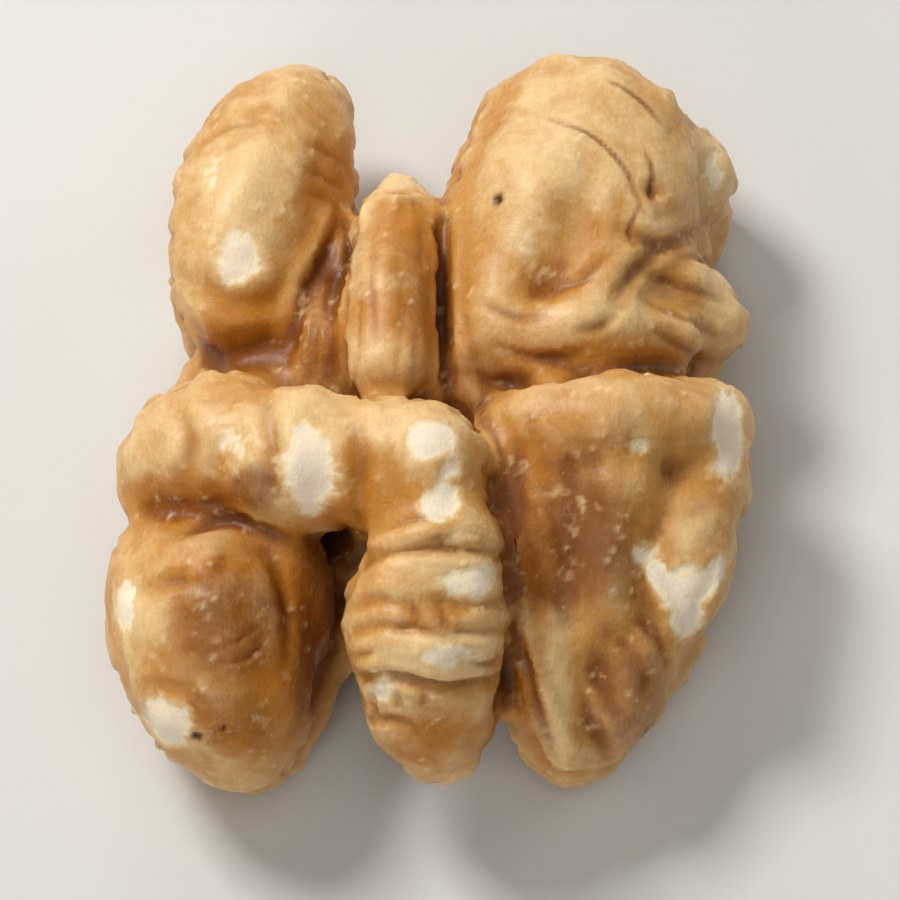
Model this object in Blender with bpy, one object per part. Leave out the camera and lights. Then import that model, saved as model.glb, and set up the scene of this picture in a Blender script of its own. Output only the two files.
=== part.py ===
"""Half kernel of a cracked walnut, shelled and lying on its inner face.

The kernel is one grown piece, so it is one solid.  Its lobes are thick folds,
each modelled as a ball swept along a curved path whose radius changes on the way.
The swept folds are fused by a voxel remesh, softened, thinned out, and cut
flat where the rim of the inner face touches the table.

Frame: +Z up, +Y towards the germ end, +X to the right lobe, origin under the
middle of the kernel on the resting plane.
"""

import math

import bmesh
import bpy
import numpy as np

# Driving dimensions, in metres
KERNEL_WIDTH = 0.0275
KERNEL_LENGTH = 0.0330
KERNEL_HEIGHT = 0.0145

# Making of the skin
MM = 0.001
SWEEP_STEP = 0.3  # gap between two balls of a sweep, as a share of the radius
BALL_DIVISIONS = 2
VOXEL = 0.45 * MM
SOFTEN_ROUNDS = 3
KEPT_TRIANGLES = 11000
FOOT_CUT = 0.3 * MM  # depth of the flats that the rim stands on

# Fold paths in millimetres, before the fit to the driving dimensions: (x, y, z, radius)
LEFT_LOBE = {
    "cheek": [(-4.9, 15.5, 5.2, 1.8), (-6.0, 13.2, 6.8, 3.2), (-7.2, 10.0, 7.4, 3.45),
              (-7.9, 7.0, 7.8, 2.8), (-7.7, 4.8, 7.8, 2.2)],
    "cheek_wall": [(-6.6, 12.6, 4.2, 2.2), (-8.2, 9.8, 4.2, 2.2), (-8.6, 7.2, 4.4, 2.0),
                   (-7.8, 4.4, 5.0, 1.9)],
    "cheek_hem": [(-3.9, 11.2, 6.6, 1.2), (-4.4, 9.2, 7.3, 1.4), (-5.3, 6.6, 7.7, 1.5),
                  (-5.6, 4.2, 7.8, 1.4)],
    "valley": [(-4.3, 8.2, 5.4, 2.0), (-4.2, 5.6, 6.4, 2.1), (-4.0, 2.8, 7.4, 2.2)],
    "shoulder": [(-10.3, -4.2, 7.0, 2.2), (-9.8, -2.6, 8.3, 2.9), (-8.2, -2.3, 9.3, 3.3)],
    "arch": [(-8.2, -2.3, 9.3, 3.3), (-6.8, -2.9, 9.9, 2.9), (-5.3, -3.5, 10.5, 3.3),
             (-3.9, -3.8, 10.7, 2.8), (-2.4, -3.9, 10.9, 3.0), (-0.5, -4.1, 10.9, 3.2)],
    "leg": [(-0.5, -4.1, 10.9, 3.2), (0.1, -6.2, 10.9, 2.75), (0.4, -7.6, 10.7, 3.0),
            (0.1, -9.0, 10.1, 3.0), (0.0, -10.4, 9.4, 3.5), (0.1, -11.9, 8.4, 3.1),
            (0.3, -13.0, 7.0, 3.0), (0.6, -14.0, 5.4, 2.1)],
    "bulge": [(-9.4, -7.2, 6.6, 3.7), (-8.8, -9.4, 6.6, 4.4), (-8.2, -12.0, 5.6, 3.9),
              (-7.6, -13.3, 4.6, 2.8)],
    "bulge_brow": [(-9.2, -6.6, 7.0, 3.1), (-6.8, -7.2, 7.2, 2.9), (-6.2, -9.4, 6.4, 2.6)],
    "bulge_pleat_high": [(-10.2, -6.4, 5.4, 2.6), (-10.5, -6.2, 2.5, 2.1)],
    "bulge_pleat_low": [(-9.8, -10.4, 4.6, 2.8), (-9.9, -10.6, 2.4, 2.1)],
    "left_waist": [(-8.3, 2.8, 4.8, 1.9), (-9.2, 0.2, 5.2, 2.0), (-10.2, -2.4, 4.8, 2.2)],
    "gap_floor": [(-4.6, -2.6, 4.4, 1.8), (-4.2, -5.4, 4.0, 1.6), (-3.6, -9.0, 3.7, 1.5)],
    "gap_floor_inner": [(-2.8, -0.6, 5.2, 1.9), (-2.7, -3.4, 4.8, 1.8), (-2.6, -6.2, 4.8, 1.8)],
}

GERM = {
    "germ_tip": [(-1.0, 9.7, 8.4, 1.2), (-1.2, 7.9, 9.0, 1.75), (-1.4, 4.8, 9.5, 2.0),
                 (-1.5, 1.2, 9.8, 1.9)],
    "germ_bed": [(-0.2, 8.2, 6.2, 1.9), (0.8, 6.0, 6.8, 2.0), (1.0, 3.4, 7.6, 2.2)],
}

RIGHT_LOBE = {
    "bulb": [(6.5, 12.4, 5.8, 5.1), (5.2, 9.2, 7.0, 4.8), (3.9, 6.2, 8.0, 3.4), (3.3, 3.0, 8.6, 2.3)],
    "bulb_crown": [(7.4, 12.4, 6.4, 4.4), (7.4, 8.8, 7.4, 4.0), (7.0, 5.6, 8.2, 3.0)],
    "bulb_knob": [(8.6, 12.6, 5.8, 3.4), (11.0, 12.0, 5.2, 2.2)],
    "bulb_cheek": [(8.6, 6.4, 7.4, 2.7), (11.7, 4.9, 6.0, 1.9)],
    "bulb_hem": [(3.0, 2.6, 8.8, 1.9), (6.4, 3.0, 9.2, 2.1), (9.6, 3.6, 7.6, 1.9)],
    "brow": [(4.6, -1.7, 9.4, 2.1), (6.6, -1.6, 9.8, 2.3), (9.0, -1.3, 9.2, 2.4),
             (11.4, -1.0, 7.3, 2.2)],
    "brow_corner": [(11.4, -0.6, 7.2, 2.2), (11.5, -3.0, 6.9, 2.1)],
    "seam_wall": [(4.2, -1.6, 9.2, 1.8), (4.9, -4.8, 9.0, 1.8), (4.7, -7.8, 8.2, 1.6)],
    "flank": [(11.2, -3.0, 7.2, 2.3), (10.7, -5.2, 7.2, 2.2), (10.4, -7.2, 6.7, 2.3),
              (9.7, -8.8, 5.8, 1.8)],
    "low_bump": [(8.6, -10.2, 5.5, 2.2), (7.6, -12.2, 4.9, 2.1), (6.9, -13.4, 4.2, 1.6)],
    "lobe_valley": [(7.6, -4.0, 8.3, 2.8), (7.2, -6.6, 7.3, 2.6), (6.8, -9.4, 6.2, 2.4)],
    "spur": [(3.8, -7.6, 8.8, 1.1), (4.8, -11.2, 7.4, 1.25), (6.0, -14.2, 4.8, 1.2)],
    "spur_root": [(4.4, -9.0, 6.6, 1.9), (5.2, -12.4, 5.2, 1.9)],
    "right_waist": [(10.7, 4.8, 4.4, 2.1), (9.2, 1.9, 5.0, 1.9), (10.8, -0.8, 4.8, 2.2)],
    "flank_pleat_high": [(11.2, -1.2, 6.4, 2.2), (11.1, -1.4, 2.6, 2.3)],
    "flank_pleat_mid": [(10.7, -5.0, 6.2, 2.2), (10.8, -4.6, 2.8, 1.9)],
    "flank_pleat_low": [(9.6, -8.0, 4.8, 2.3), (9.4, -8.2, 2.6, 2.4)],
    "bulb_pleat_inner": [(4.2, 12.6, 5.2, 2.6), (3.6, 12.6, 2.8, 2.0)],
    "bulb_pleat_end": [(7.2, 14.4, 5.0, 2.7), (6.8, 14.7, 2.8, 2.3)],
    "bulb_pleat_outer": [(10.6, 12.0, 4.8, 2.5), (10.9, 12.0, 2.6, 2.2)],
    "bulb_pleat_side": [(9.9, 8.8, 5.0, 2.3), (10.0, 8.6, 2.8, 2.0)],
}

INNER_FACE = {
    "left_upper_rim": [(-3.6, 8.4, 4.2, 1.8), (-4.6, 11.6, 3.0, 1.7), (-6.2, 13.5, 2.4, 2.2),
                       (-7.9, 11.4, 2.9, 1.8), (-8.7, 8.2, 2.4, 2.2), (-8.0, 4.8, 3.2, 1.8)],
    "left_lower_rim": [(-8.2, 2.0, 3.4, 1.8), (-10.1, -1.6, 2.5, 2.3), (-10.0, -4.2, 3.2, 1.8),
                       (-10.4, -6.4, 2.5, 2.1), (-9.9, -8.6, 3.1, 1.8), (-9.6, -10.8, 2.4, 2.2),
                       (-7.3, -13.2, 2.3, 2.2), (-5.4, -11.4, 3.2, 1.8), (-5.0, -8.2, 4.0, 1.9)],
    "right_upper_rim": [(1.8, 8.0, 4.2, 1.8), (2.8, 11.2, 3.2, 2.0), (4.2, 13.4, 2.8, 2.0),
                        (5.6, 14.5, 2.8, 2.1), (7.6, 14.8, 2.3, 2.3), (9.3, 13.4, 3.1, 1.8),
                        (10.8, 11.6, 2.4, 2.2), (9.8, 8.4, 2.9, 1.9), (10.7, 5.0, 2.4, 2.1)],
    "right_lower_rim": [(9.2, 2.0, 3.4, 1.8), (10.9, -1.2, 2.5, 2.3), (10.4, -3.4, 3.0, 1.9),
                        (10.5, -5.0, 2.8, 1.9), (9.6, -6.6, 3.1, 1.8), (9.1, -8.8, 2.3, 2.3),
                        (7.7, -11.2, 3.0, 1.9), (6.1, -13.0, 2.3, 2.1), (4.6, -11.0, 3.2, 1.7),
                        (3.6, -7.8, 4.0, 1.9)],
    "midrib": [(-0.9, 8.4, 5.6, 1.6), (-0.8, 5.6, 5.0, 2.0), (-0.2, 1.0, 5.0, 2.3),
               (0.2, -4.0, 5.4, 2.4), (0.2, -8.6, 5.8, 2.2)],
}

HEART = {
    "left_heart": [(-6.2, 11.0, 5.8, 2.6), (-6.8, 7.0, 6.2, 2.7), (-6.4, 2.0, 5.8, 2.6),
                   (-8.0, -3.0, 6.8, 3.2), (-8.6, -9.0, 6.2, 3.2)],
    "right_heart": [(6.2, 11.5, 5.8, 3.4), (6.8, 6.0, 6.4, 3.2), (6.8, 0.4, 6.4, 2.9),
                    (7.2, -5.4, 6.2, 3.0), (6.6, -10.0, 5.2, 2.6)],
    "bridge": [(-6.0, 1.4, 6.0, 2.5), (-1.0, 1.4, 6.9, 2.8), (5.0, 1.2, 6.6, 2.8)],
    "low_bridge": [(-1.6, -3.4, 8.2, 2.8), (1.0, -4.0, 7.8, 2.8), (5.0, -4.0, 7.0, 2.8)],
    "leg_root": [(0.6, -8.0, 7.2, 2.4), (3.6, -8.6, 6.2, 2.0)],
}


def clear_scene():
    for obj in list(bpy.data.objects):
        bpy.data.objects.remove(obj, do_unlink=True)


def smooth_path(points):
    """A Catmull-Rom spline through the fold's own points, read a short step apart."""
    knots = np.array(points)
    ends = np.vstack([2 * knots[0] - knots[1], knots, 2 * knots[-1] - knots[-2]])
    samples = []
    for a, b, c, d in zip(ends[:-3], ends[1:-2], ends[2:-1], ends[3:]):
        step = SWEEP_STEP * min(b[3], c[3])
        count = max(2, math.ceil(np.linalg.norm((c - b)[:3]) / step))
        for t in np.arange(count) / count:
            samples.append(0.5 * (2 * b + (c - a) * t + (2 * a - 5 * b + 4 * c - d) * t**2
                                  + (3 * b - a - 3 * c + d) * t**3))
    return samples + [knots[-1]]


def swept_balls(folds):
    """One mesh that holds every ball of every fold."""
    ball = bmesh.new()
    bmesh.ops.create_icosphere(ball, subdivisions=BALL_DIVISIONS, radius=1.0)
    shape = np.array([v.co for v in ball.verts])
    faces = np.array([[v.index for v in f.verts] for f in ball.faces])
    ball.free()
    points, triangles = [], []
    for path in folds.values():
        for x, y, z, radius in smooth_path(path):
            triangles.append(faces + len(shape) * len(points))
            points.append(shape * radius + (x, y, z))
    mesh = bpy.data.meshes.new("folds")
    mesh.from_pydata(np.vstack(points) * MM, [], np.vstack(triangles).tolist())
    return mesh


def evaluated_mesh(obj):
    """The mesh that an object's modifiers make; the object itself is removed."""
    graph = bpy.context.evaluated_depsgraph_get()
    mesh = bpy.data.meshes.new_from_object(obj.evaluated_get(graph))
    bpy.data.objects.remove(obj)
    return mesh


def new_object(name, mesh):
    obj = bpy.data.objects.new(name, mesh)
    bpy.context.scene.collection.objects.link(obj)
    return obj


def fused(mesh):
    """The balls as one closed, softened skin."""
    obj = new_object("folds", mesh)
    remesh = obj.modifiers.new("fuse", "REMESH")
    remesh.mode = "VOXEL"
    remesh.voxel_size = VOXEL
    soften = obj.modifiers.new("soften", "SMOOTH")
    soften.factor = 0.5
    soften.iterations = SOFTEN_ROUNDS
    return evaluated_mesh(obj)


def fit_to_size(mesh):
    """Stretch the skin to the driving dimensions, with its feet FOOT_CUT below the plane."""
    points = np.array([v.co for v in mesh.vertices])
    low, high = points.min(axis=0), points.max(axis=0)
    wanted = np.array([KERNEL_WIDTH, KERNEL_LENGTH, KERNEL_HEIGHT + FOOT_CUT])
    middle_of_base = np.array([(low[0] + high[0]) / 2, (low[1] + high[1]) / 2, low[2]])
    points = (points - middle_of_base) * wanted / (high - low) - (0, 0, FOOT_CUT)
    mesh.vertices.foreach_set("co", points.ravel())


def thinned(mesh):
    """The skin with its triangles thinned out, most where it is flattest."""
    obj = new_object("skin", mesh)
    thin = obj.modifiers.new("thin", "DECIMATE")
    thin.ratio = KEPT_TRIANGLES / (2 * len(mesh.polygons))
    return evaluated_mesh(obj)


def table_cutter():
    """A block whose top is the resting plane."""
    block = bmesh.new()
    bmesh.ops.create_cube(block, size=1.0)
    bmesh.ops.scale(block, vec=(2 * KERNEL_WIDTH, 2 * KERNEL_LENGTH, KERNEL_HEIGHT), verts=block.verts)
    bmesh.ops.translate(block, vec=(0, 0, -KERNEL_HEIGHT / 2), verts=block.verts)
    mesh = bpy.data.meshes.new("table_cutter")
    block.to_mesh(mesh)
    block.free()
    cutter = new_object("table_cutter", mesh)
    cutter.hide_render = True
    cutter.display_type = "WIRE"
    return cutter


def kernel_skin_material():
    """Golden tan seed skin with a waxy, half-matt finish."""
    material = bpy.data.materials.new("kernel_skin")
    material.use_nodes = True
    shader = material.node_tree.nodes["Principled BSDF"]
    shader.inputs["Base Color"].default_value = (0.56, 0.33, 0.13, 1.0)
    shader.inputs["Roughness"].default_value = 0.48
    shader.inputs["Metallic"].default_value = 0.0
    return material


def main():
    clear_scene()
    skin = fused(swept_balls({**LEFT_LOBE, **GERM, **RIGHT_LOBE, **INNER_FACE, **HEART}))
    fit_to_size(skin)
    kernel = new_object("kernel_half", thinned(skin))
    kernel.data.name = "kernel_half"
    kernel.data.materials.append(kernel_skin_material())
    kernel.data.shade_smooth()
    flat_feet = kernel.modifiers.new("flat_feet", "BOOLEAN")
    flat_feet.operation = "DIFFERENCE"
    flat_feet.object = table_cutter()


main()
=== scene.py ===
# Half kernel of a cracked walnut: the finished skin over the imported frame.
import math

import bmesh
import bpy
import numpy as np
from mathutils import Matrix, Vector
from mathutils.bvhtree import BVHTree


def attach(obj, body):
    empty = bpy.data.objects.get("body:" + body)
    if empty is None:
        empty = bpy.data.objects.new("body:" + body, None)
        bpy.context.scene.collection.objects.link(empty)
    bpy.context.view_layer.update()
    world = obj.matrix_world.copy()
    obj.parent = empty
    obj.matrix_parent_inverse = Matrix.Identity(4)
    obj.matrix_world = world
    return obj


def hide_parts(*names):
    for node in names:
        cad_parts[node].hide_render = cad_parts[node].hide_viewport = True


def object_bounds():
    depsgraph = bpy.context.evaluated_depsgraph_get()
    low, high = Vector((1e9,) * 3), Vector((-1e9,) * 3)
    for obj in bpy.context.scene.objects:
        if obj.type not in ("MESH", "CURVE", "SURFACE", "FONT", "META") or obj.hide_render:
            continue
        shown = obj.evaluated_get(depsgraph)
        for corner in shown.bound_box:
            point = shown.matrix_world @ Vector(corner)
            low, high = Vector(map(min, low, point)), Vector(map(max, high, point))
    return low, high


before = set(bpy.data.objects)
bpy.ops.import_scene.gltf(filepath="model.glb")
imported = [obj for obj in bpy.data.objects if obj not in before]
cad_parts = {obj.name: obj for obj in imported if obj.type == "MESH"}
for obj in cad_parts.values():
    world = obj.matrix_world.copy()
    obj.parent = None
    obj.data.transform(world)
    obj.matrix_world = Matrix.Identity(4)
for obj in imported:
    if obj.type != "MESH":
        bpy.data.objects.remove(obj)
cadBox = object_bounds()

mm = 0.001
cadLow, cadHigh = np.array(cadBox[0]), np.array(cadBox[1])

# where the kernel is looked at from; marks on its skin are placed in millimetres
# right and up of lookAt, as seen from there
view = {
    "elevation": math.radians(68),
    "distance": 300 * mm,
    "span": 38.25 * mm,                      # width of the picture at the kernel's middle
    "lookAt": Vector((0, -0.93, 6.83)) * mm,
    "shift": (0.81 * mm, -1.06 * mm),        # from lookAt to the middle of the picture
    "sensor": 36,
    "nearest": 10 * mm,
}
viewRight = Vector((1, 0, 0))
viewUp = Vector((0, math.sin(view["elevation"]), math.cos(view["elevation"])))
viewBack = viewRight.cross(viewUp)
viewEye = (view["lookAt"] + viewRight * view["shift"][0] + viewUp * view["shift"][1]
           + viewBack * view["distance"])


# nodes: one class for values that are worked out, one method for every other node

class Wire:
    # the value of one socket; arithmetic on it adds Math nodes
    def __init__(self, book, socket):
        self.book = book
        self.socket = socket

    def maths(self, operation, *values):
        return self.book.add("ShaderNodeMath", {"operation": operation}, dict(enumerate(values)))

    def __add__(self, other):
        return self.maths("ADD", self, other)

    def __sub__(self, other):
        return self.maths("SUBTRACT", self, other)

    def __rsub__(self, other):
        return self.maths("SUBTRACT", other, self)

    def __mul__(self, other):
        return self.maths("MULTIPLY", self, other)

    def __truediv__(self, other):
        return self.maths("DIVIDE", self, other)

    def __rtruediv__(self, other):
        return self.maths("DIVIDE", other, self)

    def __abs__(self):
        return self.maths("ABSOLUTE", self)

    __radd__ = __add__
    __rmul__ = __mul__


def socketOf(sockets, key):
    if isinstance(key, int):
        return sockets[key]
    return next(s for s in sockets if key in (s.identifier, s.name))


class NodeBook:
    def __init__(self, tree):
        self.tree = tree

    def add(self, kind, settings=None, inputs=None, output=0):
        node = self.tree.nodes.new(kind)
        for name, value in (settings or {}).items():
            setattr(node, name, value)
        for key, value in (inputs or {}).items():
            socket = socketOf(node.inputs, key)
            if isinstance(value, Wire):
                self.tree.links.new(value.socket, socket)
            else:
                socket.default_value = value
        return Wire(self, socketOf(node.outputs, output))

    def scaled(self, vector, factor):
        return self.add("ShaderNodeVectorMath", {"operation": "SCALE"}, {0: vector, "Scale": factor})

    def stretched(self, vector, factors):
        return self.add("ShaderNodeVectorMath", {"operation": "MULTIPLY"}, {0: vector, 1: factors})

    def moved(self, vector, offset):
        return self.add("ShaderNodeVectorMath", {"operation": "ADD"}, {0: vector, 1: offset})

    def noise(self, place, scale, detail=2.0, rough=0.5, bend=0.0, output="Fac"):
        return self.add("ShaderNodeTexNoise", {"noise_dimensions": "3D"},
                        {"Vector": place, "Scale": scale, "Detail": detail, "Roughness": rough,
                         "Distortion": bend}, output)

    def ease(self, value, low, high, start=0.0, end=1.0):
        # start below low, end above high, and a smooth step between
        return self.add("ShaderNodeMapRange", {"interpolation_type": "SMOOTHSTEP"},
                        {"Value": value, "From Min": low, "From Max": high,
                         "To Min": start, "To Max": end})

    def mixed(self, share, first, second, blend="MIX"):
        return self.add("ShaderNodeMix", {"data_type": "RGBA", "blend_type": blend},
                        {"Factor_Float": share, "A_Color": first, "B_Color": second}, "Result_Color")

    def layer(self, name):
        return self.add("ShaderNodeAttribute", {"attribute_name": name}, output="Fac")


# mesh helpers

def meshPoints(mesh):
    points = np.empty(len(mesh.vertices) * 3)
    mesh.vertices.foreach_get("co", points)
    return points.reshape(-1, 3)


def setMeshPoints(mesh, points):
    mesh.vertices.foreach_set("co", np.ascontiguousarray(points).ravel())
    mesh.update()


def meshNormals(mesh):
    normals = np.empty(len(mesh.vertices) * 3)
    mesh.vertices.foreach_get("normal", normals)
    return normals.reshape(-1, 3)


def setLayer(mesh, name, values):
    layer = mesh.attributes.get(name) or mesh.attributes.new(name, "FLOAT", "POINT")
    layer.data.foreach_set("value", np.ascontiguousarray(values, dtype=np.float32))


def newPiece(name, mesh):
    piece = bpy.data.objects.new(name, mesh)
    bpy.context.scene.collection.objects.link(piece)
    return piece


def plainMesh(piece):
    # what the piece's modifiers make, as a mesh of its own; the piece goes
    graph = bpy.context.evaluated_depsgraph_get()
    mesh = bpy.data.meshes.new_from_object(piece.evaluated_get(graph))
    bpy.data.objects.remove(piece)
    return mesh


def relaxerOf(mesh):
    # gives a function that averages values with their neighbours' along the edges
    pairs = np.empty(len(mesh.edges) * 2, dtype=np.int32)
    mesh.edges.foreach_get("vertices", pairs)
    a, b = pairs.reshape(-1, 2).T
    count = len(mesh.vertices)
    degree = np.bincount(a, minlength=count) + np.bincount(b, minlength=count)

    def relax(values, rounds, share=0.5):
        columns = np.array(values, dtype=float).reshape(count, -1)
        for _ in range(rounds):
            for i in range(columns.shape[1]):
                column = columns[:, i]
                total = np.bincount(a, column[b], count) + np.bincount(b, column[a], count)
                columns[:, i] = (1 - share) * column + share * total / degree
        return columns.reshape(np.shape(values))

    return relax


def smoothStep(values, low, high):
    t = np.clip((values - low) / (high - low), 0, 1)
    return t * t * (3 - 2 * t)


# the kernel's skin, first its plain rounded form

skinForm = {
    "weld": 0.002 * mm,
    "voxel": 0.2 * mm,
    "meltRounds": 14,       # takes the thinned triangles' facets away
    "puff": 0.68,           # how much fuller the folds get, and their creases deeper
    "puffRounds": 90,
    "crisp": 0.75,          # the same for narrow folds
    "crispRounds": 16,
    "rimFlat": 0.08 * mm,   # taken off the lowest skin, so that the rim stands flat
}


def roundedSkin():
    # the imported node, merged, rounded and covered with an even net of small faces
    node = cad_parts["kernel_half"]
    mesh = node.data.copy()
    mesh.transform(node.matrix_world)
    net = bmesh.new()
    net.from_mesh(mesh)
    bmesh.ops.remove_doubles(net, verts=net.verts, dist=skinForm["weld"])
    net.to_mesh(mesh)
    net.free()
    mesh.materials.clear()
    piece = newPiece("skinDraft", mesh)
    rounded = piece.modifiers.new("rounded", "SUBSURF")
    rounded.levels = rounded.render_levels = 1
    even = piece.modifiers.new("even", "REMESH")
    even.mode = "VOXEL"
    even.voxel_size = skinForm["voxel"]
    return plainMesh(piece)


def puffFolds(mesh, relax):
    points = relax(meshPoints(mesh), skinForm["meltRounds"])
    for amount, rounds in (("puff", "puffRounds"), ("crisp", "crispRounds")):
        points = points + skinForm[amount] * (points - relax(points, skinForm[rounds]))
    setMeshPoints(mesh, points)


# marks on the skin: each is placed as seen from the camera, in millimetres

def skinCaster(mesh):
    # gives a function from a place right and up of lookAt to the nearest skin behind it
    tree = BVHTree.FromPolygons([v.co for v in mesh.vertices], [p.vertices for p in mesh.polygons])

    def cast(right, up):
        target = view["lookAt"] + viewRight * (right * mm) + viewUp * (up * mm)
        hit = tree.ray_cast(viewEye, (target - viewEye).normalized())[0]
        return None if hit is None else np.array(hit)

    return cast


strokeForm = {
    "step": 0.15,            # mm between the points of a stroke
    "tip": 0.03,             # share of a stroke's length where its taper ends
    "creaseReach": 4.0,      # these are in half widths of the crease or ridge
    "shoulderPlace": 1.9,
    "shoulderWidth": 0.9,
    "ridgeReach": 3.0,
    "shoulderRise": 0.35,    # swollen sides of a crease, as a share of its depth
    "tintNarrowing": 0.8,
    "moundSteepness": 1.5,
}


def strokePath(cast, corners):
    # the stroke's corners joined by a Catmull-Rom curve and laid on the skin
    knots = np.array(corners, dtype=float)
    ends = np.vstack([2 * knots[0] - knots[1], knots, 2 * knots[-1] - knots[-2]])
    places = []
    for a, b, c, d in zip(ends[:-3], ends[1:-2], ends[2:-1], ends[3:]):
        count = max(2, math.ceil(np.linalg.norm(c - b) / strokeForm["step"]))
        for t in np.arange(count) / count:
            places.append(0.5 * (2 * b + (c - a) * t + (2 * a - 5 * b + 4 * c - d) * t**2
                                 + (3 * b - a - 3 * c + d) * t**3))
    path = [cast(*place) for place in places + [knots[-1]]]
    shares = np.linspace(0, 1, len(path))
    kept = [(p, s) for p, s in zip(path, shares) if p is not None]
    return np.array([p for p, s in kept]), np.array([s for p, s in kept])


def strokeReach(points, path, shares, reach):
    # which points lie within reach of the stroke, how far off, and the stroke's taper there
    low, high = path.min(axis=0) - reach, path.max(axis=0) + reach
    near = np.flatnonzero(((points > low) & (points < high)).all(axis=1))
    gaps = np.linalg.norm(points[near, None, :] - path[None, :, :], axis=2)
    nearest = gaps.argmin(axis=1)
    away = gaps[np.arange(len(near)), nearest]
    tip = strokeForm["tip"]
    taper = np.sqrt(np.sin(np.pi * np.clip(shares[nearest], tip, 1 - tip)))
    return near, away, taper


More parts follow.
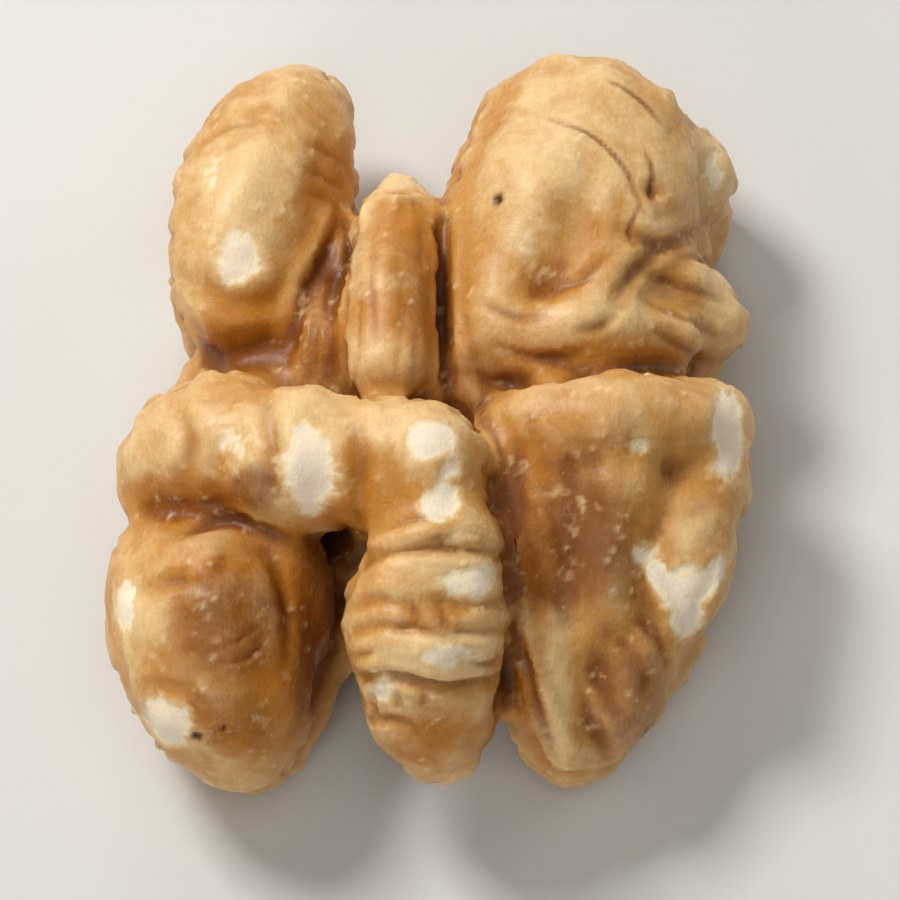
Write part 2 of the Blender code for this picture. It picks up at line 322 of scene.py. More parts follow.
creases = {
    # depth and half width in mm, brown tint (partly the skin's darker lines, partly painted shade in the
    # crease), then the strokes
    "knobFolds": (0.07, 0.20, 0.45, [
        [(-5.6, 12.2), (-4.6, 11.8), (-3.6, 11.0)], [(-5.8, 11.2), (-4.5, 10.6), (-3.6, 9.9)],
        [(-5.4, 10.0), (-4.4, 9.6), (-3.8, 8.9)], [(-9.9, 12.0), (-8.6, 12.8), (-7.2, 12.9)]]),
    "knobWaist": (0.26, 0.55, 0.25, [
        [(-10.6, 6.3), (-9.0, 5.5), (-7.2, 5.2), (-5.6, 6.2)]]),
    "knobEdge": (0.30, 0.35, 0.55, [
        [(-3.6, 9.6), (-4.5, 7.4), (-5.6, 5.0), (-6.1, 2.8)]]),
    "membraneSlit": (0.35, 0.22, 0.9, [[(-3.5, 8.8), (-3.5, 6.6), (-3.6, 4.2)]]),
    "membraneFibres": (0.10, 0.15, 0.35, [
        [(-4.3, 6.4), (-4.3, 3.6), (-4.5, 1.4)], [(-5.0, 5.4), (-5.0, 3.2), (-5.2, 1.7)],
        [(-3.0, 6.0), (-3.1, 3.4), (-3.3, 1.0)]]),
    "tongueFibres": (0.04, 0.20, 0.5, [
        [(-2.4, 8.6), (-2.5, 5.4), (-2.3, 3.0)], [(-1.5, 7.6), (-1.3, 4.6), (-1.6, 1.4)],
        [(-0.5, 9.0), (-0.4, 6.4)], [(-0.6, 4.4), (-0.8, 1.6)]]),
    "tongueGroove": (0.50, 0.32, 0.6, [[(0.5, 9.4), (0.5, 6.0), (0.6, 3.0), (0.9, 0.9)]]),
    "neckGroove": (0.16, 0.32, 0.7, [
        [(1.6, 4.4), (2.2, 2.0), (2.9, -1.0), (3.5, -4.4), (3.8, -7.4)]]),
    "bulbVein": (0.06, 0.14, 0.9, [
        [(4.6, 13.4), (6.7, 12.5), (8.2, 11.2), (8.9, 9.9), (9.4, 8.6)],
        [(9.2, 12.0), (9.6, 10.9), (9.7, 9.7)], [(7.4, 14.9), (9.0, 14.0), (10.2, 12.8)],
        [(9.1, 9.6), (8.6, 8.4), (8.9, 7.4)]]),
    "bulbNotch": (0.24, 0.34, 0.6, [
        [(11.9, 8.6), (10.2, 7.7), (8.8, 6.6), (7.6, 4.8)], [(10.6, 7.8), (9.4, 7.9), (8.3, 8.4)]]),
    "sideFans": (0.11, 0.22, 0.65, [
        [(9.0, 6.6), (11.0, 5.9), (12.9, 5.2)], [(9.0, 5.4), (11.0, 4.5), (12.7, 3.6)],
        [(9.4, 4.2), (10.9, 3.3), (11.9, 2.6)], [(10.4, 7.2), (11.9, 7.0), (12.9, 6.4)]]),
    "bulbHem": (0.10, 0.24, 0.6, [
        [(2.0, 5.3), (3.8, 4.6), (5.2, 4.7)], [(5.9, 4.0), (7.4, 4.3), (8.6, 5.4)],
        [(2.4, 3.5), (4.6, 2.9), (6.6, 3.1)], [(5.2, 5.8), (6.6, 6.2), (7.6, 7.4)]]),
    "waist": (0.30, 0.42, 0.5, [
        [(1.0, 2.2), (3.4, 1.7), (6.0, 2.1), (8.6, 2.5), (11.2, 2.7)]]),
    "lobeFibres": (0.04, 0.24, 0.4, [
        [(3.8, -0.8), (4.2, -4.0), (4.9, -7.4)], [(4.8, -0.4), (5.1, -3.0), (5.9, -6.4)],
        [(4.3, 0.8), (4.4, -0.8)], [(5.9, -0.6), (6.3, -3.4)]]),
    "lobeFolds": (0.05, 0.40, 0.35, [
        [(7.2, -1.0), (7.2, -2.6), (7.7, -4.6)], [(8.8, 0.8), (8.6, -0.6), (8.2, -2.4)],
        [(10.3, -0.6), (10.2, -2.8)], [(10.9, -3.3), (9.8, -4.4), (8.9, -6.2), (8.7, -7.4)],
        [(12.4, -3.4), (11.2, -3.9), (10.4, -5.0)]]),
    "lowFolds": (0.11, 0.34, 0.5, [
        [(7.3, -8.7), (8.5, -9.5), (9.2, -11.0), (9.0, -12.0)],
        [(8.8, -8.4), (9.9, -9.4), (10.4, -10.6)],
        [(6.9, -10.4), (7.9, -12.0), (8.9, -12.9)], [(6.8, -12.6), (7.5, -13.9), (7.8, -15.0)]]),
    "spurEdge": (0.25, 0.25, 0.7, [[(3.6, -8.4), (4.4, -11.2), (5.6, -14.4)]]),
    "archFolds": (0.22, 0.44, 0.45, [
        [(-7.3, 1.9), (-6.8, -0.4), (-6.8, -3.0)], [(-3.5, 0.9), (-3.0, -1.4), (-3.2, -3.8)],
        [(-10.9, 1.0), (-10.3, -0.9), (-10.6, -2.4)]]),
    "shoulderEdge": (0.20, 0.34, 0.6, [
        [(-11.4, -4.9), (-10.0, -4.5), (-8.2, -4.1), (-6.0, -4.8)]]),
    "legFolds": (0.34, 0.28, 0.5, [
        [(-3.4, -6.0), (-1.8, -5.5), (0.4, -5.2), (3.4, -5.6)],
        [(-3.6, -10.9), (-1.8, -10.7), (0.6, -11.1), (3.6, -10.9)]]),
    "legMiddleFolds": (0.20, 0.26, 0.35, [
        [(-3.7, -7.9), (-2.4, -7.5), (-0.8, -7.7)], [(-0.2, -7.5), (1.6, -7.7), (3.6, -7.4)],
        [(-3.5, -9.0), (-1.8, -8.6), (-0.2, -9.0)], [(0.0, -8.7), (1.8, -8.9), (3.6, -8.7)]]),
    "legWrinkles": (0.14, 0.20, 0.6, [
        [(-1.8, -4.5), (-0.4, -4.0), (1.0, -4.3)], [(-0.4, -4.9), (1.6, -4.6), (2.6, -5.0)],
        [(-1.7, -8.9), (-0.6, -8.6), (0.6, -9.0), (1.8, -8.7)], [(-0.9, -7.4), (-0.4, -8.6)],
        [(0.4, -7.5), (0.7, -8.9)], [(-2.6, -11.4), (-2.4, -12.6)], [(-1.4, -11.2), (-1.3, -12.2)],
        [(-0.2, -11.2), (-0.3, -12.0)], [(-3.3, -12.9), (-1.6, -12.6), (-0.4, -13.2)],
        [(1.2, -9.9), (2.4, -10.2), (3.4, -9.9)], [(-3.2, -9.9), (-2.2, -9.6)]]),
    "bulgeFolds": (0.12, 0.36, 0.35, [
        [(-12.8, -7.2), (-10.8, -6.6), (-9.0, -7.2)], [(-7.0, -5.4), (-6.2, -8.0), (-6.2, -10.8)],
        [(-12.4, -11.2), (-10.6, -11.4), (-9.2, -12.6)], [(-8.9, -5.4), (-9.2, -6.8)]]),
    "bulgeScratches": (0.09, 0.13, 0.4, [
        [(-9.6, -9.7), (-8.4, -9.3), (-7.2, -8.4)], [(-9.2, -10.3), (-8.0, -10.0), (-7.0, -9.2)]]),
}

ridges = {
    # height and half width in mm, then the strokes
    "neckFill": (0.75, 0.62, [[(1.8, 3.2), (2.4, 0.6), (3.1, -2.6), (3.6, -5.6), (3.8, -7.6)]]),
    "spurSides": (0.26, 0.70, [[(5.9, -8.4), (6.6, -10.4), (7.6, -12.6), (8.0, -14.4)],
                               [(4.3, -10.4), (5.0, -13.0), (5.8, -15.0)]]),
    "legTiers": (0.22, 0.70, [[(-3.0, -6.9), (-0.6, -6.6), (2.8, -6.7)],
                              [(-3.2, -9.6), (-0.4, -9.6), (2.9, -9.4)],
                              [(-2.8, -11.8), (0.2, -12.0), (2.6, -12.0)]]),
    "membraneSeam": (0.12, 0.18, [[(-3.8, 6.4), (-3.8, 3.6), (-4.0, 1.2)]]),
    "tongueLip": (0.24, 0.30, [[(-2.9, 8.6), (-2.2, 9.5), (-1.2, 9.9), (-0.2, 9.6), (0.2, 8.8)]]),
    "spurCrest": (0.34, 0.20, [[(3.9, -7.6), (4.9, -10.9), (6.6, -14.6)]]),
    "tornEdge": (0.22, 0.22, [[(9.3, -5.8), (9.9, -7.0), (10.9, -9.1)],
                              [(12.5, -5.8), (12.1, -7.4), (11.1, -9.2)]]),
}

mounds = [
    # right, up, radius and height in mm; a negative height is a dent
    # knob
    (-8.4, 9.6, 2.0, 0.2), (-5.6, 8.6, 1.4, 0.15),
    # tip of the germ tongue
    (-1.2, 9.2, 0.7, -0.2), (-1.3, 10.5, 0.6, -0.5), (-2.5, 9.5, 0.9, 0.36), (0.0, 9.5, 0.8, 0.30),
    # bulb
    (4.4, 10.6, 1.8, 0.25), (9.7, 10.1, 0.6, -0.45), (6.4, 4.9, 1.3, 0.2), (11.6, 6.3, 1.0, 0.25),
    (11.2, 3.9, 0.9, 0.22),
    # arch
    (-9.0, -0.1, 1.7, 0.30), (-5.2, -1.4, 1.6, 0.32), (0.0, -1.2, 1.8, 0.28), (-10.7, -2.0, 1.4, 0.25),
    # leg
    (-1.9, -6.9, 1.3, 0.25), (1.9, -6.8, 1.5, 0.30), (0.6, -10.0, 1.4, 0.34), (-2.3, -10.4, 1.0, 0.25),
    (1.8, -12.1, 1.3, 0.22), (-1.4, -13.4, 1.2, 0.2),
    # bulge
    (-7.9, -6.7, 1.8, 0.2), (-11.4, -9.2, 1.8, 0.15), (-11.4, -12.6, 1.3, 0.2),
    # long lobe
    (7.8, 0.4, 1.4, 0.25), (11.9, 0.4, 1.1, 0.25), (7.0, -4.6, 1.4, 0.1), (10.7, -4.4, 1.2, 0.3),
    (9.0, -9.9, 1.1, 0.28), (8.6, -12.6, 1.1, 0.3),
]


meltedSpots = {
    # places where the marked skin is smoothed out: right, up and radius in mm
    "rounds": 90,
    "fade": (0.4, 1.3),      # in radii
    "spots": [
        # tip of the germ tongue
        (-1.3, 10.2, 1.5), (-2.4, 9.6, 1.0), (0.0, 9.6, 1.0),
        # top of the neck
        (2.8, -0.2, 0.9), (3.0, -1.6, 0.9), (3.2, -3.0, 0.9), (3.4, -4.2, 0.8)],
}


def meltSpots(mesh, relax):
    cast = skinCaster(mesh)
    points = meshPoints(mesh)
    melted = relax(points, meltedSpots["rounds"])
    share = np.zeros(len(points))
    for right, up, radius in meltedSpots["spots"]:
        away = np.linalg.norm(points - cast(right, up), axis=1) / (radius * mm)
        share = np.maximum(share, 1 - smoothStep(away, *meltedSpots["fade"]))
    setMeshPoints(mesh, points + (melted - points) * share[:, None])


def pressMarks(mesh):
    # creases, ridges and mounds; gives the brown painted into the creases, point by point, partly the
    # skin's darker lines and partly painted shade
    form = strokeForm
    cast = skinCaster(mesh)
    points, normals = meshPoints(mesh), meshNormals(mesh)
    lift = np.zeros(len(points))
    brown = np.zeros(len(points))
    for depth, width, tint, strokes in creases.values():
        for corners in strokes:
            path, shares = strokePath(cast, corners)
            near, away, taper = strokeReach(points, path, shares, form["creaseReach"] * width * mm)
            away = away / (width * mm)
            beside = (away - form["shoulderPlace"]) / form["shoulderWidth"]
            shoulders = form["shoulderRise"] * np.exp(-beside**2)
            lift[near] += depth * mm * taper * (shoulders - np.exp(-away**2))
            tinted = tint * taper * np.exp(-(form["tintNarrowing"] * away) ** 2)
            brown[near] = np.maximum(brown[near], tinted)
    for height, width, strokes in ridges.values():
        for corners in strokes:
            path, shares = strokePath(cast, corners)
            near, away, taper = strokeReach(points, path, shares, form["ridgeReach"] * width * mm)
            lift[near] += height * mm * taper * np.exp(-(away / (width * mm)) ** 2)
    for right, up, radius, height in mounds:
        gap = np.linalg.norm(points - cast(right, up), axis=1) / (radius * mm)
        lift += height * mm * np.exp(-form["moundSteepness"] * gap**2)
    setMeshPoints(mesh, points + normals * lift[:, None])
    return brown


rubs = [
    # spots where the skin is rubbed through: right, up, half width, half height, lean in degrees
    # and strength
    # knob and bulb
    (-8.3, 7.2, 1.15, 1.25, 0, 0.85), (-9.2, 10.9, 0.9, 0.9, 0, 0.4), (12.4, 11.2, 0.6, 1.7, -8, 0.6),
    (4.4, 7.9, 0.7, 1.4, 0, 0.42),
    # arch
    (-8.5, -0.9, 0.8, 1.25, 8, 0.46), (-5.3, -1.9, 1.15, 2.15, 8, 1.0), (0.0, -0.5, 1.2, 0.95, 16, 1.0),
    (0.5, -3.2, 0.85, 1.0, -14, 0.95), (0.9, -1.7, 0.5, 0.9, -20, 0.6),
    # leg
    # the rub at (0.9, -9.9) also partly lights the leg's lower fold, a painted highlight
    (1.4, -4.6, 1.0, 0.5, 0, 0.5), (1.9, -6.7, 1.5, 0.8, 6, 0.72), (0.9, -9.9, 1.8, 0.65, 0, 0.68),
    (-2.2, -11.4, 0.9, 0.6, 0, 0.6),
    # bulge
    (-13.3, -7.8, 0.6, 1.4, 0, 0.75), (-11.5, -12.8, 1.2, 1.3, 30, 1.0),
    # long lobe, its torn corner last
    (12.9, -0.4, 0.85, 2.1, 0, 1.0), (8.9, -0.9, 0.6, 0.6, 0, 0.55), (9.4, -5.6, 0.9, 0.7, 0, 0.45),
    (9.9, -6.5, 0.55, 0.9, 30, 0.9), (11.0, -6.9, 1.25, 1.0, 0, 0.95), (12.2, -6.4, 0.5, 1.0, -24, 0.9),
    (11.1, -8.2, 0.7, 1.1, 0, 1.0),
]

washes = {
    # soft colour spots of the skin: right, up, half width, half height, strength; partly real stains,
    # partly painted light and shade
    "pale": [
        # knob, tongue and bulb
        (-8.2, 10.0, 2.4, 3.0, 0.65), (-0.6, 10.2, 1.6, 0.6, 0.7), (-3.2, 8.2, 0.9, 1.6, 0.6),
        (4.2, 10.4, 1.8, 3.6, 0.35), (6.6, 12.6, 4.8, 4.2, 0.55), (12.0, 11.0, 1.2, 2.6, 0.6),
        (12.4, 5.0, 1.0, 2.2, 0.5), (6.6, 5.2, 2.6, 1.0, 0.4),
        # arch, leg and bulge
        # the pale spot at (1.2, -9.8) partly lights the leg's lower fold, a painted highlight
        (-4.0, 0.2, 6.0, 1.0, 0.45), (-11.6, -1.0, 1.6, 2.4, 0.3), (1.2, -9.8, 2.6, 1.0, 0.8),
        (1.6, -6.5, 2.2, 0.9, 0.35), (0.4, -5.9, 2.4, 0.5, 0.5), (0.2, -10.6, 2.6, 0.5, 0.5),
        (-12.8, -7.8, 0.9, 2.4, 0.6),
        # long lobe
        (5.6, -10.8, 0.5, 3.6, 0.6), (10.6, -4.4, 1.4, 1.2, 0.35)],
    "amber": [
        # knob, tongue and bulb
        (-8.0, 3.8, 2.8, 2.0, 1.0), (-4.6, 9.4, 1.3, 3.6, 0.6), (-4.6, 4.2, 1.4, 3.6, 0.5),
        (-1.0, 6.6, 2.2, 4.6, 1.0), (2.0, 12.8, 1.2, 3.0, 0.35), (5.8, 7.2, 2.6, 2.2, 0.4),
        (6.6, 3.0, 4.2, 1.0, 0.55),
        # arch, leg and bulge
        (-3.0, -3.4, 3.0, 1.5, 0.7), (-10.2, -3.0, 2.8, 1.5, 1.0), (-2.6, -1.6, 1.4, 1.2, 0.5),
        (-8.4, -2.6, 2.2, 1.0, 0.9), (-1.6, -6.6, 1.6, 0.9, 0.4), (-0.4, -8.3, 2.6, 0.7, 0.6),
        # the amber spot at (-6.0, -8.6) is painted shade on the bulge's right side
        (0.4, -13.6, 3.6, 1.5, 0.9), (-7.4, -12.0, 3.8, 3.4, 0.85), (-6.0, -8.6, 1.8, 4.4, 0.9),
        (-9.4, -7.6, 3.4, 3.0, 0.7),
        # long lobe
        (4.3, -4.0, 1.4, 4.8, 1.0), (7.2, 0.4, 3.8, 1.3, 0.6), (4.4, -11.8, 1.0, 3.4, 0.9),
        (9.0, -5.4, 2.4, 2.4, 0.4)],
    "brown": [
        # knob, tongue and bulb
        (-8.4, 3.0, 2.4, 1.1, 0.5), (-4.8, 2.6, 1.4, 1.8, 0.45), (-3.3, 7.2, 0.5, 2.6, 0.5),
        (-0.8, 6.4, 1.5, 3.6, 0.5), (-4.9, 3.8, 1.2, 2.8, 0.6), (1.9, 1.8, 1.2, 2.6, 0.6),
        (9.9, 9.8, 1.0, 1.5, 0.5), (4.0, 6.0, 0.8, 1.6, 0.35),
        # arch, leg and bulge
        (-10.0, -3.4, 2.8, 0.9, 0.45), (-7.4, -2.7, 1.5, 1.2, 0.85), (0.6, -13.8, 2.4, 1.0, 0.25),
        # the brown spot at (-4.7, -8.8) is painted shade on the bulge's right side
        (-4.7, -8.8, 1.5, 5.2, 1.0), (-8.6, -8.4, 3.0, 3.0, 0.85), (-8.8, -12.6, 2.4, 1.8, 0.6),
        # long lobe
        (3.6, -4.6, 1.0, 4.4, 0.8), (4.7, -5.2, 1.0, 3.2, 0.7), (6.7, -4.8, 2.4, 3.4, 1.0),
        (7.4, -9.8, 0.8, 2.6, 0.6), (8.8, -11.8, 2.4, 3.4, 0.8)],
}


spotForm = {
    # a spot is full inside the first value and gone at the second, in its own half sizes
    "rubFade": (0.35, 1.5),
    "washFade": (0.3, 1.6),
    "pitFade": (0.6, 1.5),
    # and how far it reaches along the line of sight, in mm
    "rubDeep": 2.2,
    "washDeep": 3.5,
}


def spread(points, centre, halfWidth, halfHeight, deep, lean=0.0):
    # how far points lie from a spot's centre, in its own half sizes, along the view's axes
    cosLean, sinLean = math.cos(math.radians(lean)), math.sin(math.radians(lean))
    offset = (points - centre) / mm
    across, along = offset @ np.array(viewRight), offset @ np.array(viewUp)
    x = (across * cosLean + along * sinLean) / halfWidth
    y = (along * cosLean - across * sinLean) / halfHeight
    return np.sqrt(x**2 + y**2 + (offset @ np.array(viewBack) / deep) ** 2)


pits = [
    # tiny dents painted near black: right, up and radius in mm
    (2.9, 9.7, 0.25), (-10.1, -13.4, 0.23), (-8.9, -13.0, 0.12),
]


def paintSpots(mesh):
    form = spotForm
    cast = skinCaster(mesh)
    points = meshPoints(mesh)
    rubbed = np.zeros(len(points))
    for right, up, halfWidth, halfHeight, lean, strength in rubs:
        away = spread(points, cast(right, up), halfWidth, halfHeight, form["rubDeep"], lean)
        rubbed = np.maximum(rubbed, strength * (1 - smoothStep(away, *form["rubFade"])))
    setLayer(mesh, "rubbed", rubbed)
    pitted = np.zeros(len(points))
    for right, up, radius in pits:
        away = np.linalg.norm(points - cast(right, up), axis=1) / (radius * mm)
        pitted = np.maximum(pitted, 1 - smoothStep(away, *form["pitFade"]))
    setLayer(mesh, "pit", pitted)
    for name, spots in washes.items():
        stain = np.zeros(len(points))
        for right, up, halfWidth, halfHeight, strength in spots:
            away = spread(points, cast(right, up), halfWidth, halfHeight, form["washDeep"])
            stain = np.maximum(stain, strength * (1 - smoothStep(away, *form["washFade"])))
        setLayer(mesh, name, stain)


# fine wrinkles, veins and specks, grown over the whole skin by geometry nodes

fineSkin = {
    "Lump height": 0.55 * mm,
    "Lump size": 3.4,            # mm
    "Wrinkle height": 0.18 * mm,
    "Wrinkle size": 1.5,         # mm
    "Pleat depth": 0.18 * mm,
    "Pleat size": 2.4,           # mm
    "Vein depth": 0.09 * mm,
    "Vein size": 4.5,            # mm
    "Rub depth": 0.10 * mm,
    "Pit depth": 0.12 * mm,
    "Specks": 420000.0,          # for each square metre
    "Speck size": 0.17 * mm,
    "Speck height": 0.09 * mm,
    "Seed": 7,
}

finePattern = {
    # scales are in waves for each mm, limits in noise or layer values
    "bendScale": 0.5,
    "bendReach": 1.6,                   # mm
    "fineScale": 3.0,                   # fine wrinkles to one wrinkle
    "fineShare": 0.34,
    "fineWildShare": 0.1,
    "veinWidth": 0.022,
    "veinCalm": 0.15,                   # how wild the skin has to be for a vein
    "wallLimits": (0.45, 0.95),
    "pleatStretch": (1.0, 1.0, 0.4),
    "pleatCutWidth": 0.045,
    "pleatSwellWidth": 0.12,
    "pleatSwell": (-1.0, 0.35),         # in the cut, and beside it
    "pleatShadeTint": 0.8,
    "clusterScale": 0.45,
    "clusterLimits": (0.43, 0.58),
    "speckLimits": (0.1, 1.2),          # in speck sizes
    "hiddenRubScale": 0.24,
    "hiddenRubLimits": (0.60, 0.70),
    "hiddenRubShare": 0.75,
    "ragged": ((0.8, 1.2), (2.6, 0.9)),     # scale and strength of a rub's broken edge
    "bareLimits": (0.40, 0.62),
}


def fineSkinTree(material):
    tree = bpy.data.node_groups.new("fineSkin", "GeometryNodeTree")
    tree.is_modifier = True
    face = tree.interface
    face.new_socket("Geometry", in_out="INPUT", socket_type="NodeSocketGeometry")
    for name, value in fineSkin.items():
        kind = "NodeSocketInt" if isinstance(value, int) else "NodeSocketFloat"
        face.new_socket(name, in_out="INPUT", socket_type=kind)
    face.new_socket("Geometry", in_out="OUTPUT", socket_type="NodeSocketGeometry")
    book = NodeBook(tree)
    given = tree.nodes.new("NodeGroupInput")
    wanted = {s.name: Wire(book, s) for s in given.outputs if s.name}
    place = book.scaled(book.add("GeometryNodeInputPosition"), 1 / mm)
    normal = book.add("GeometryNodeInputNormal")

    def stored(name):
        return book.add("GeometryNodeInputNamedAttribute", {"data_type": "FLOAT"}, {"Name": name})

    # wrinkles: bent noise at two sizes
    form = finePattern
    bend = book.moved(book.noise(place, form["bendScale"], 1.0, output="Color"), (-0.5, -0.5, -0.5))
    bent = book.moved(place, book.scaled(bend, form["bendReach"]))
    coarse = book.noise(bent, 1 / wanted["Wrinkle size"], 2.0, 0.55) - 0.5
    fine = book.noise(bent, form["fineScale"] / wanted["Wrinkle size"], 2.0, 0.55) - 0.5
    wild = stored("wild")
    fineShare = form["fineShare"] + wild * form["fineWildShare"]
    wrinkle = (coarse * wild + fine * fineShare) * wanted["Wrinkle height"]
    lumps = book.noise(bent, 1 / wanted["Lump size"], 1.0, 0.4) - 0.5

    # veins: thin furrows where a broad noise crosses its middle value
    branch = book.noise(bent, 1 / wanted["Vein size"], 1.5, 0.6, 0.4)
    vein = book.ease(abs(branch - 0.5), 0.0, form["veinWidth"], 1.0, 0.0)
    vein = vein * (wild - form["veinCalm"])

    # pleats: furrows that run up the walls, with swollen sides
    walls = book.ease(wild, *form["wallLimits"])
    upright = book.stretched(bent, form["pleatStretch"])
    pleatGap = abs(book.noise(upright, 1 / wanted["Pleat size"], 1.0, 0.5, 0.3) - 0.5)
    pleatCut = book.ease(pleatGap, 0.0, form["pleatCutWidth"], 1.0, 0.0) * walls
    pleatSwell = book.ease(pleatGap, 0.0, form["pleatSwellWidth"], *form["pleatSwell"]) * walls
    furrow = vein * wanted["Vein depth"] - pleatSwell * wanted["Pleat depth"]

    # specks: low grains that stand on the skin at scattered points; the skin's material paints a
    # highlight glint on them
    scatter = book.add("GeometryNodeDistributePointsOnFaces", {"distribute_method": "RANDOM"},
                       {"Mesh": wanted["Geometry"], "Density": wanted["Specks"],
                        "Seed": wanted["Seed"]}, "Points")
    gap = book.add("GeometryNodeProximity", {"target_element": "POINTS"},
                   {"Target": scatter, "Source Position": book.add("GeometryNodeInputPosition")},
                   "Distance")
    cluster = book.ease(book.noise(place, form["clusterScale"], 2.0, 0.6), *form["clusterLimits"])
    speck = book.ease(gap / wanted["Speck size"], *form["speckLimits"], 1.0, 0.0) * cluster

    # rubbed spots: broken edges, and the skin's thickness lower than the skin
    hiddenRubs = book.ease(book.noise(place, form["hiddenRubScale"], 1.0), *form["hiddenRubLimits"])
    worn = stored("rubbed") + hiddenRubs * walls * form["hiddenRubShare"]
    for scale, strength in form["ragged"]:
        worn = worn + (book.noise(place, scale, 2.0, 0.6) - 0.5) * strength
    bare = book.ease(worn, *form["bareLimits"])
    lift = (wrinkle + lumps * wanted["Lump height"] - furrow - bare * wanted["Rub depth"]
            + speck * wanted["Speck height"] * (1 - bare) - stored("pit") * wanted["Pit depth"])

    skin = wanted["Geometry"]
    # the vein layer also carries the pleat cuts' brown, painted shade in those furrows
    for name, value in (("vein", vein + pleatCut * form["pleatShadeTint"]), ("speck", speck), ("worn", worn)):
        skin = book.add("GeometryNodeStoreNamedAttribute", {"data_type": "FLOAT", "domain": "POINT"},
                        {"Geometry": skin, "Name": name, "Value": value})
    skin = book.add("GeometryNodeSetPosition", {},
                    {"Geometry": skin, "Offset": book.scaled(normal, lift)})
    skin = book.add("GeometryNodeRealizeInstances", {}, {"Geometry": skin})
    skin = book.add("GeometryNodeSetMaterial", {}, {"Geometry": skin, "Material": material})
    end = tree.nodes.new("NodeGroupOutput")
    tree.links.new(skin.socket, end.inputs["Geometry"])
    return tree


def growFineSkin(mesh, material):
    piece = newPiece("fineDraft", mesh)
    modifier = piece.modifiers.new("fineSkin", "NODES")
    modifier.node_group = fineSkinTree(material)
    for item in modifier.node_group.interface.items_tree:
        if item.in_out == "INPUT" and item.name in fineSkin:
            modifier[item.identifier] = fineSkin[item.name]
    return plainMesh(piece)


# looks of the skin

skinLooks = {
    "colours": {
        "tan": (0.54, 0.262, 0.062, 1), "pale": (0.75, 0.52, 0.25, 1), "amber": (0.46, 0.166, 0.010, 1),
        "brown": (0.175, 0.040, 0.002, 1), "dark": (0.05, 0.01, 0.0, 1), "cream": (0.93, 0.82, 0.58, 1),
        "chalk": (0.86, 0.76, 0.62, 1), "glint": (0.95, 0.75, 0.45, 1),
    },
    # noises of the skin: waves for each mm, detail, roughness, distortion and stretch
    "noises": {
        "blotches": (0.42, 3.0, 0.6, 0.6, (1, 1, 1)), "mottle": (1.7, 3.0, 0.6, 0.4, (1, 1, 1)),
        "grain": (5.5, 3.0, 0.65, 0.0, (1, 1, 1)), "threads": (1.3, 3.0, 0.6, 1.2, (2.6, 0.5, 1.2)),
        "pores": (13.0, 2.0, 0.6, 0.0, (1, 1, 1)),
    },
    # colours laid over the tan one after the other: colour, what they grow from, limits, strength; the
    # crest, hollow, deep, wild and crease shares paint light and shade into the colour
    "tonesAndPaintedLight": [
        # pale: partly the skin's own paler tone, partly a painted highlight on the crests
        ("pale", {"pale": 1, "crest": 0.55, "blotches": 1.2, "mottle": 0.8}, (-0.05, 1.1), 1.0),
        # amber: partly the skin's own colour, partly painted shade on the flanks turned from the camera
        # and in deep folds
        ("amber", {"amber": 1, "deep": 0.5, "wild": 0.45, "blotches": -1.3, "crest": -0.3,
                   "mottle": 0.6}, (0.1, 1.1), 0.9),
        # brown from the hollows: partly real stains, partly painted shade in the hollows
        ("brown", {"brown": 1, "hollow": 0.85, "mottle": 0.5, "threads": 0.5}, (0.2, 1.1), 0.8),
        # crease brown: partly the skin's darker lines, partly painted shade in creases and pleat cuts
        ("brown", {"crease": 1, "vein": 0.4, "mottle": 0.4}, (0.1, 0.9), 0.75),
        # dark: painted shade in the deepest crevices
        ("dark", {"deep": 1}, (0.24, 0.78), 0.85),
    ],
    "shade": {"grain": 0.35, "threads": 0.25},
    "wornGrain": 0.22,
    "rim": ((0.1, 0.45), 0.65),              # limits and strength of a rub's yellowish rim
    "bare": ((0.34, 0.70), 0.9),             # and of its bare middle
    "chalkGrowth": {"mottle": 1.6, "grain": 0.6},
    "chalkLimits": (0.5, 1.0),
    "paintedGlintStrength": 0.45,
    "pitStrength": 0.95,
    "roughness": 0.43,
    "rubbedRoughness": 0.60,
    "mottleRoughness": 0.12,
    "relief": {"grain": 0.8, "mottle": 0.8, "threads": 0.5},
    "poreRelief": 0.25,
    "bumpStrength": 0.45,
    "bumpDistance": 0.08 * mm,
    "coat": 0.13,
    "coatRoughness": 0.30,
    "ior": 1.45,
    "specular": 0.27,
    "subsurface": 0.22,
    "subsurfaceScale": 1.0 * mm,
    "subsurfaceRadius": (1.0, 0.42, 0.18),
}


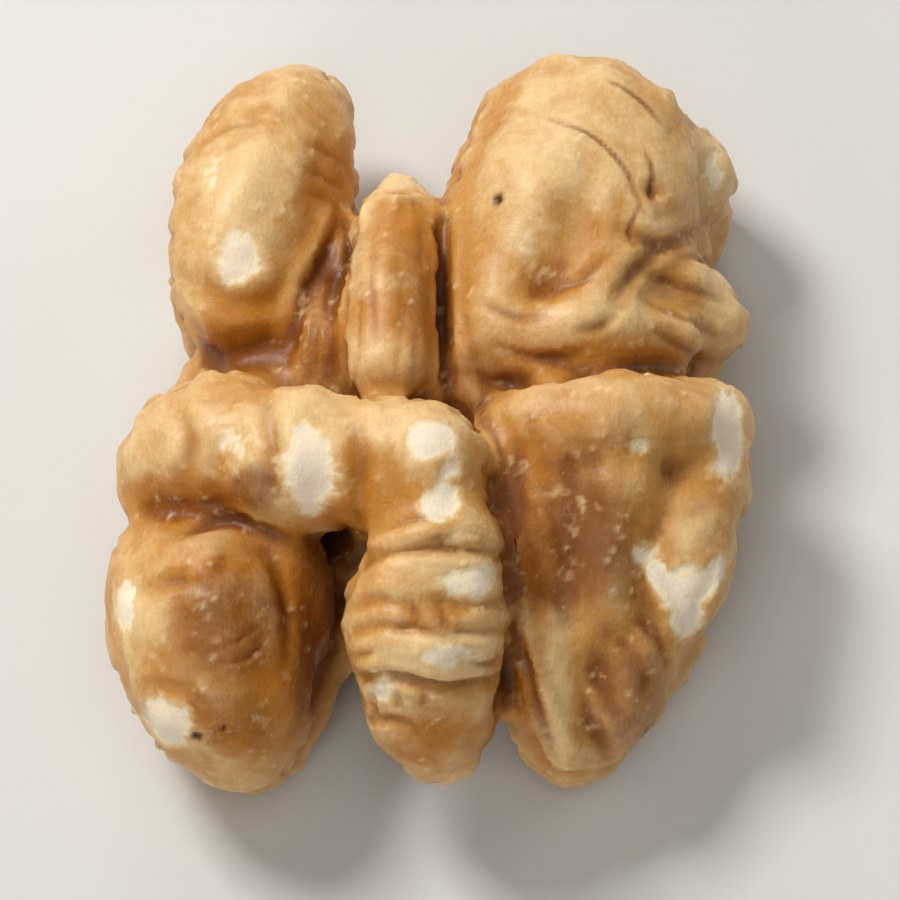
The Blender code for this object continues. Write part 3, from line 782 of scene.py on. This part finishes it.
def skinMaterial():
    material = bpy.data.materials.new("kernelSkin")
    material.use_nodes = True
    material.node_tree.nodes.clear()
    book = NodeBook(material.node_tree)
    looks, colours = skinLooks, skinLooks["colours"]
    place = book.scaled(book.add("ShaderNodeTexCoord", output="Object"), 1 / mm)
    values = {name: book.layer(name) for name in ("pale", "amber", "brown", "crest", "hollow", "deep",
                                                  "wild", "crease", "vein")}
    for name, (scale, detail, rough, bend, stretch) in looks["noises"].items():
        values[name] = book.noise(book.stretched(place, stretch), scale, detail, rough, bend) - 0.5

    def grown(shares, start=0.0):
        for name, share in shares.items():
            start = values[name] * share + start
        return start

    colour = colours["tan"]
    for name, shares, limits, strength in looks["tonesAndPaintedLight"]:
        colour = book.mixed(book.ease(grown(shares), *limits) * strength, colour, colours[name])
    shade = grown(looks["shade"], 1.0)
    grey = book.add("ShaderNodeCombineColor", {}, {0: shade, 1: shade, 2: shade})
    colour = book.mixed(1.0, colour, grey, "MULTIPLY")

    # rubbed spots: broken edges, yellowish rim, chalky middle
    worn = book.layer("worn") + values["grain"] * looks["wornGrain"]
    (rimLimits, rimStrength), (bareLimits, bareStrength) = looks["rim"], looks["bare"]
    bare = book.ease(worn, *bareLimits)
    chalky = book.ease(grown(looks["chalkGrowth"], worn), *looks["chalkLimits"])
    flesh = book.mixed(chalky, colours["cream"], colours["chalk"])
    colour = book.mixed(book.ease(worn, *rimLimits) * rimStrength, colour, colours["pale"])
    colour = book.mixed(bare * bareStrength, colour, flesh)
    # painted highlight: small bright glints on the specks
    glinting = book.layer("speck") * looks["paintedGlintStrength"] * (1 - bare)
    colour = book.mixed(glinting, colour, colours["glint"])
    colour = book.mixed(book.layer("pit") * looks["pitStrength"], colour, colours["dark"])

    rough = (looks["roughness"] + bare * (looks["rubbedRoughness"] - looks["roughness"])
             + values["mottle"] * looks["mottleRoughness"])
    height = grown(looks["relief"], (values["pores"] + 0.5) * looks["poreRelief"] * (1 + bare))
    bump = book.add("ShaderNodeBump", {}, {"Height": height, "Strength": looks["bumpStrength"],
                                           "Distance": looks["bumpDistance"]})
    shader = book.add("ShaderNodeBsdfPrincipled", {"subsurface_method": "RANDOM_WALK"}, {
        "Base Color": colour, "Roughness": rough, "Coat Weight": looks["coat"] * (1 - bare),
        "Coat Roughness": looks["coatRoughness"], "Normal": bump, "IOR": looks["ior"],
        "Specular IOR Level": looks["specular"], "Subsurface Weight": looks["subsurface"],
        "Subsurface Radius": looks["subsurfaceRadius"], "Subsurface Scale": looks["subsurfaceScale"]})
    end = material.node_tree.nodes.new("ShaderNodeOutputMaterial")
    material.node_tree.links.new(shader.socket, end.inputs["Surface"])
    return material


# the hollow, crest and deep layers measured here set painted shade in hollows and deep crevices and a
# painted highlight on crests
foldMeasures = {
    # rounds of smoothing that find folds of this size, and the hollow and the crest, in mm, that
    # count in full, with their shares
    "small": {"rounds": 24, "settle": 3, "hollow": (0.09, 0.6), "crest": (0.07, 0.5)},
    "large": {"rounds": 260, "settle": 6, "hollow": (0.55, 0.5), "crest": (0.6, 0.6)},
    "deepStart": 0.15,
    "deepReach": 0.9,
}


def measureFolds(mesh, relax):
    # how far each point lies in a hollow or on a crest, at two sizes of fold
    points, normals = meshPoints(mesh), meshNormals(mesh)
    hollow, crest = np.zeros(len(points)), np.zeros(len(points))
    for size in ("small", "large"):
        form = foldMeasures[size]
        sunk = ((relax(points, form["rounds"]) - points) * normals).sum(axis=1) / mm
        sunk = relax(sunk, form["settle"])
        for layer, sign, (full, share) in ((hollow, 1, form["hollow"]), (crest, -1, form["crest"])):
            layer += np.clip(sign * sunk / full, 0, 1) * share
    setLayer(mesh, "hollow", hollow)
    setLayer(mesh, "crest", crest)
    setLayer(mesh, "deep", np.clip((sunk - foldMeasures["deepStart"]) / foldMeasures["deepReach"], 0, 1))


wildGrowth = {
    "least": 0.35,
    "facing": (-0.1, 0.6),     # cosine to the line of sight where the calm starts and is full
}


def wildness(mesh):
    # how freely fine wrinkles grow: little on the marked outer face, more on walls and inner face; the
    # amber painted shade on the flanks grows from it too
    facing = meshNormals(mesh) @ np.array(viewBack)
    least = wildGrowth["least"]
    return least + (1 - least) * (1 - smoothStep(facing, *wildGrowth["facing"]))


def fitToBox(mesh):
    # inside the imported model's box, and flat where the rim stands
    points = meshPoints(mesh)
    low, high = points.min(axis=0), points.max(axis=0)
    fitted = cadLow + (points - low) * (cadHigh - cadLow) / (high - low)
    fitted[:, 2] = np.maximum(fitted[:, 2] - skinForm["rimFlat"], cadLow[2])
    setMeshPoints(mesh, fitted)


def makeKernel():
    mesh = roundedSkin()
    print("skin net:", len(mesh.vertices), "points")
    relax = relaxerOf(mesh)
    puffFolds(mesh, relax)
    brown = pressMarks(mesh)
    meltSpots(mesh, relax)
    print("marks pressed")
    setLayer(mesh, "crease", brown)
    setLayer(mesh, "wild", wildness(mesh))
    paintSpots(mesh)
    mesh = growFineSkin(mesh, skinMaterial())
    print("fine skin grown")
    fitToBox(mesh)
    measureFolds(mesh, relax)
    mesh.shade_smooth()
    kernel = newPiece("kernelHalf", mesh)
    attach(kernel, "root")
    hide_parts("kernel_half")
    print("kernel finished:", len(mesh.polygons), "faces")


# floor, light and camera

stage = {
    "floor": (0.66, 0.65, 0.63, 1),
    "floorReach": 0.6,
    "floorGap": 0.03 * mm,
    "floorRoughness": 0.8,
    "lamps": {
        # place and size in metres, power in watts, colour
        "window": ((-0.14, 0.13, 0.24), 0.09, 0.77, (1.0, 0.98, 0.95)),
        "sky": ((0.02, -0.10, 0.38), 0.26, 0.30, (1.0, 0.98, 0.95)),
        "room": ((0.24, 0.14, 0.12), 0.14, 0.14, (1.0, 0.96, 0.9)),
        "rim": ((-0.04, 0.34, 0.11), 0.12, 0.30, (1.0, 0.99, 0.97)),
        "front": ((-0.14, -0.26, 0.14), 0.14, 0.27, (1.0, 0.97, 0.92)),
    },
    "air": (1.0, 0.97, 0.93, 1),
    "airStrength": 0.12,
}


def makeFloor():
    reach, level = stage["floorReach"], -stage["floorGap"]
    mesh = bpy.data.meshes.new("floor")
    mesh.from_pydata([(-reach, -reach, level), (reach, -reach, level), (reach, reach, level),
                      (-reach, reach, level)], [], [(0, 1, 2, 3)])
    floor = newPiece("floor", mesh)
    material = bpy.data.materials.new("floorPaper")
    material.use_nodes = True
    shader = material.node_tree.nodes["Principled BSDF"]
    shader.inputs["Base Color"].default_value = stage["floor"]
    shader.inputs["Roughness"].default_value = stage["floorRoughness"]
    mesh.materials.append(material)


def makeLights():
    for name, (place, size, power, colour) in stage["lamps"].items():
        lamp = bpy.data.lights.new(name, "AREA")
        lamp.size = size
        lamp.energy = power
        lamp.color = colour
        light = newPiece(name, lamp)
        light.location = place
        light.rotation_euler = (view["lookAt"] - Vector(place)).to_track_quat("-Z", "Y").to_euler()
    world = bpy.data.worlds.new("room")
    world.use_nodes = True
    air = world.node_tree.nodes["Background"].inputs
    air["Color"].default_value = stage["air"]
    air["Strength"].default_value = stage["airStrength"]
    bpy.context.scene.world = world
    bpy.context.scene.view_settings.view_transform = "Standard"


def makeCamera():
    camera = newPiece("camera", bpy.data.cameras.new("camera"))
    camera.location = viewEye
    camera.rotation_euler = viewBack.to_track_quat("Z", "Y").to_euler()
    camera.data.sensor_width = view["sensor"]
    camera.data.lens = view["sensor"] * view["distance"] / view["span"]
    camera.data.clip_start = view["nearest"]
    bpy.context.scene.camera = camera


makeCamera()
makeKernel()
makeFloor()
makeLights()
print("floor, light and camera set")
